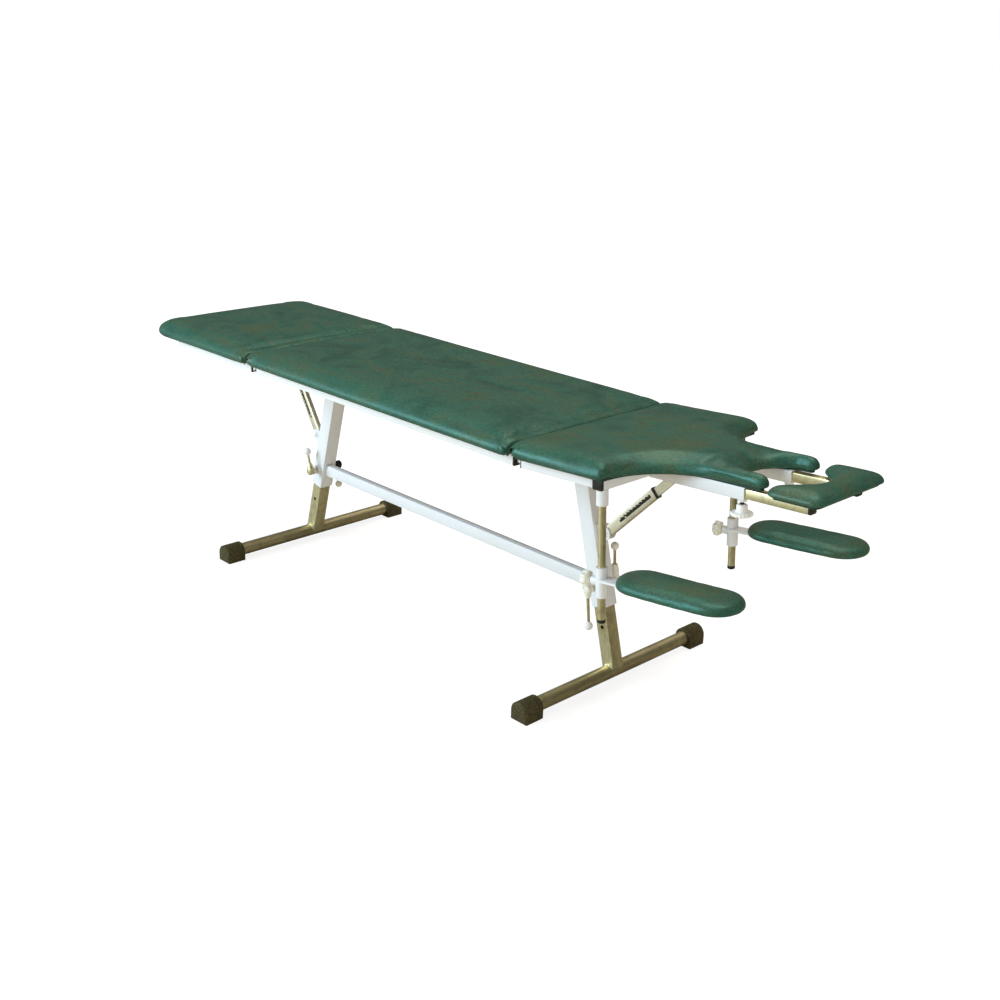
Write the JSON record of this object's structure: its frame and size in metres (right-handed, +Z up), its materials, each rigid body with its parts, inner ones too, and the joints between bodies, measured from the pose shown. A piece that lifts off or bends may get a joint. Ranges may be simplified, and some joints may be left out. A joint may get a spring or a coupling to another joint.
{
  "type": "massage table",
  "caption": "Narrow massage table: hinged foot and chest sections on ratchet stays, cut-out chest pad, sliding headrest, hanging swivel armrests, leaning telescopic T legs.",
  "frame": {"origin": "on the floor, under the middle of the table's box", "axes": "+X along the table to the head end, +Y to the far side in the picture, +Z up"},
  "size_m": [2.0214, 0.588, 0.603],
  "materials": {
    "leatherette": "grained dark green leatherette, satin",
    "plywood": "plain plywood",
    "white_paint": "smooth white powder coat",
    "plated_steel": "bright plated steel, slightly warm",
    "rubber": "matt dark rubber",
    "cream_plastic": "moulded cream plastic",
    "white_plastic": "moulded white plastic",
    "black_plastic": "moulded black plastic"
  },
  "bodies": {
    "main_frame": {"main_rail_near": "white_paint", "main_rail_far": "white_paint", "main_crossbar_foot": "white_paint", "main_crossbar_head": "white_paint", "foot_post_sleeve": "white_paint", "head_post_sleeve": "white_paint", "stretcher": "white_paint", "main_board": "plywood", "main_cushion": "leatherette", "foot_hinge_rod": "plated_steel", "chest_hinge_rod": "plated_steel"},
    "foot_section": {"foot_rail_near": "white_paint", "foot_rail_far": "white_paint", "foot_crossbar": "white_paint", "foot_board": "plywood", "foot_cushion": "leatherette"},
    "chest_section": {"chest_rail_near": "white_paint", "chest_rail_far": "white_paint", "chest_crossbar": "white_paint", "chest_board": "plywood", "chest_cushion": "leatherette", "chest_rail_plug_near": "black_plastic", "chest_rail_plug_far": "black_plastic", "armrest_socket_near": "white_paint", "armrest_socket_far": "white_paint", "bar_receiver_near": "white_paint", "bar_receiver_far": "white_paint"},
    "headrest": {"head_board": "plywood", "head_cushion": "leatherette", "head_bar_near": "plated_steel", "head_bar_far": "plated_steel", "head_bar_plug_near": "black_plastic", "head_bar_plug_far": "black_plastic"},
    "foot_leg": {"foot_inner_post": "plated_steel", "foot_foot_tube": "plated_steel", "foot_boot_near": "rubber", "foot_boot_far": "rubber"},
    "head_leg": {"head_inner_post": "plated_steel", "head_foot_tube": "plated_steel", "head_boot_near": "rubber", "head_boot_far": "rubber"},
    "foot_stay_channel": {"foot_stay_channel": "plated_steel"},
    "foot_stay_slider": {"foot_stay_slider": "plated_steel"},
    "head_stay_channel": {"head_stay_channel": "plated_steel"},
    "head_stay_slider": {"head_stay_slider": "plated_steel"},
    "bar_lock_knob_near": {"bar_lock_knob_near": "white_plastic"},
    "armrest_rod_near": {"armrest_rod_near": "plated_steel"},
    "armrest_near": {"armrest_sleeve_near": "white_paint", "armrest_cushion_near": "leatherette"},
    "armrest_knob_near": {"armrest_knob_near": "cream_plastic"},
    "foot_clamp_lever_near": {"foot_clamp_lever_near": "white_plastic"},
    "head_clamp_lever_near": {"head_clamp_lever_near": "white_plastic"},
    "bar_lock_knob_far": {"bar_lock_knob_far": "white_plastic"},
    "armrest_rod_far": {"armrest_rod_far": "plated_steel"},
    "armrest_far": {"armrest_sleeve_far": "white_paint", "armrest_cushion_far": "leatherette"},
    "armrest_knob_far": {"armrest_knob_far": "cream_plastic"},
    "foot_clamp_lever_far": {"foot_clamp_lever_far": "white_plastic"},
    "head_clamp_lever_far": {"head_clamp_lever_far": "white_plastic"}
  },
  "joints": [
    {"name": "foot_section_tilt", "type": "hinge", "parent": "main_frame", "child": "foot_section", "pos_m": [-0.56368, 0, 0.537], "axis": [0, 1, 0], "range_deg": [0, 35]},
    {"name": "chest_section_tilt", "type": "hinge", "parent": "main_frame", "child": "chest_section", "pos_m": [0.37632, 0, 0.537], "axis": [0, -1, 0], "range_deg": [-3.6, 26.4]},
    {"name": "foot_leg_slide", "type": "slide", "parent": "main_frame", "child": "foot_leg", "axis": [-0.2521, 0, -0.9677], "range_m": [0, 0.2]},
    {"name": "head_leg_slide", "type": "slide", "parent": "main_frame", "child": "head_leg", "axis": [0.2521, 0, -0.9677], "range_m": [0, 0.2]},
    {"name": "foot_stay_turn", "type": "hinge", "parent": "main_frame", "child": "foot_stay_channel", "pos_m": [-0.59581, 0, 0.30316], "axis": [0, 1, 0], "range_deg": [0, 10.4]},
    {"name": "foot_stay_slide", "type": "slide", "parent": "foot_stay_channel", "child": "foot_stay_slider", "axis": [-0.5412, 0, 0.8409], "range_m": [0, 0.0865]},
    {"name": "head_stay_turn", "type": "hinge", "parent": "main_frame", "child": "head_stay_channel", "pos_m": [0.44012, 0, 0.33509], "axis": [0, -1, 0], "range_deg": [-2.3, 15.6]},
    {"name": "head_stay_slide", "type": "slide", "parent": "head_stay_channel", "child": "head_stay_slider", "axis": [0.7015, 0, 0.7127], "range_m": [-0.0115, 0.0812]},
    {"name": "headrest_slide", "type": "slide", "parent": "chest_section", "child": "headrest", "axis": [0.998, 0, 0.0628], "range_m": [-0.01, 0.1]},
    {"name": "bar_lock_turn_near", "type": "hinge", "parent": "chest_section", "child": "bar_lock_knob_near", "pos_m": [0.82343, -0.075, 0.56513], "axis": [-0.0628, 0, 0.998], "continuous": true},
    {"name": "armrest_swivel_near", "type": "hinge", "parent": "chest_section", "child": "armrest_rod_near", "pos_m": [0.59788, -0.21, 0.55094], "axis": [-0.0628, 0, 0.998], "range_deg": [-96, 11]},
    {"name": "armrest_slide_near", "type": "slide", "parent": "armrest_rod_near", "child": "armrest_near", "axis": [-0.0628, 0, 0.998], "range_m": [-0.04, 0.1]},
    {"name": "armrest_knob_turn_near", "type": "hinge", "parent": "armrest_near", "child": "armrest_knob_near", "pos_m": [0.58927, -0.21252, 0.33497], "axis": [0.9916, 0.1132, 0.0624], "continuous": true},
    {"name": "foot_clamp_turn_near", "type": "hinge", "parent": "main_frame", "child": "foot_clamp_lever_near", "pos_m": [-0.57657, 0, 0.21238], "axis": [0, 1, 0], "continuous": true},
    {"name": "head_clamp_turn_near", "type": "hinge", "parent": "main_frame", "child": "head_clamp_lever_near", "pos_m": [0.42921, 0, 0.21238], "axis": [0, 1, 0], "continuous": true},
    {"name": "bar_lock_turn_far", "type": "hinge", "parent": "chest_section", "child": "bar_lock_knob_far", "pos_m": [0.82343, 0.075, 0.56513], "axis": [-0.0628, 0, 0.998], "continuous": true},
    {"name": "armrest_swivel_far", "type": "hinge", "parent": "chest_section", "child": "armrest_rod_far", "pos_m": [0.59788, 0.21, 0.55094], "axis": [-0.0628, 0, 0.998], "range_deg": [-24, 94]},
    {"name": "armrest_slide_far", "type": "slide", "parent": "armrest_rod_far", "child": "armrest_far", "axis": [-0.0628, 0, 0.998], "range_m": [-0.04, 0.1]},
    {"name": "armrest_knob_turn_far", "type": "hinge", "parent": "armrest_far", "child": "armrest_knob_far", "pos_m": [0.58924, 0.20767, 0.33497], "axis": [0.9926, 0.1045, 0.0624], "continuous": true},
    {"name": "foot_clamp_turn_far", "type": "hinge", "parent": "main_frame", "child": "foot_clamp_lever_far", "pos_m": [-0.57657, 0, 0.21238], "axis": [0, 1, 0], "continuous": true},
    {"name": "head_clamp_turn_far", "type": "hinge", "parent": "main_frame", "child": "head_clamp_lever_far", "pos_m": [0.42921, 0, 0.21238], "axis": [0, 1, 0], "continuous": true}
  ],
  "couplings": [
    {"joint": "foot_stay_turn", "follows": "foot_section_tilt", "ratio": 0.29002},
    {"joint": "foot_stay_slide", "follows": "foot_section_tilt", "m_per_rad": 0.14056},
    {"joint": "head_stay_turn", "follows": "chest_section_tilt", "ratio": 0.57884},
    {"joint": "head_stay_slide", "follows": "chest_section_tilt", "m_per_rad": 0.17446}
  ]
}
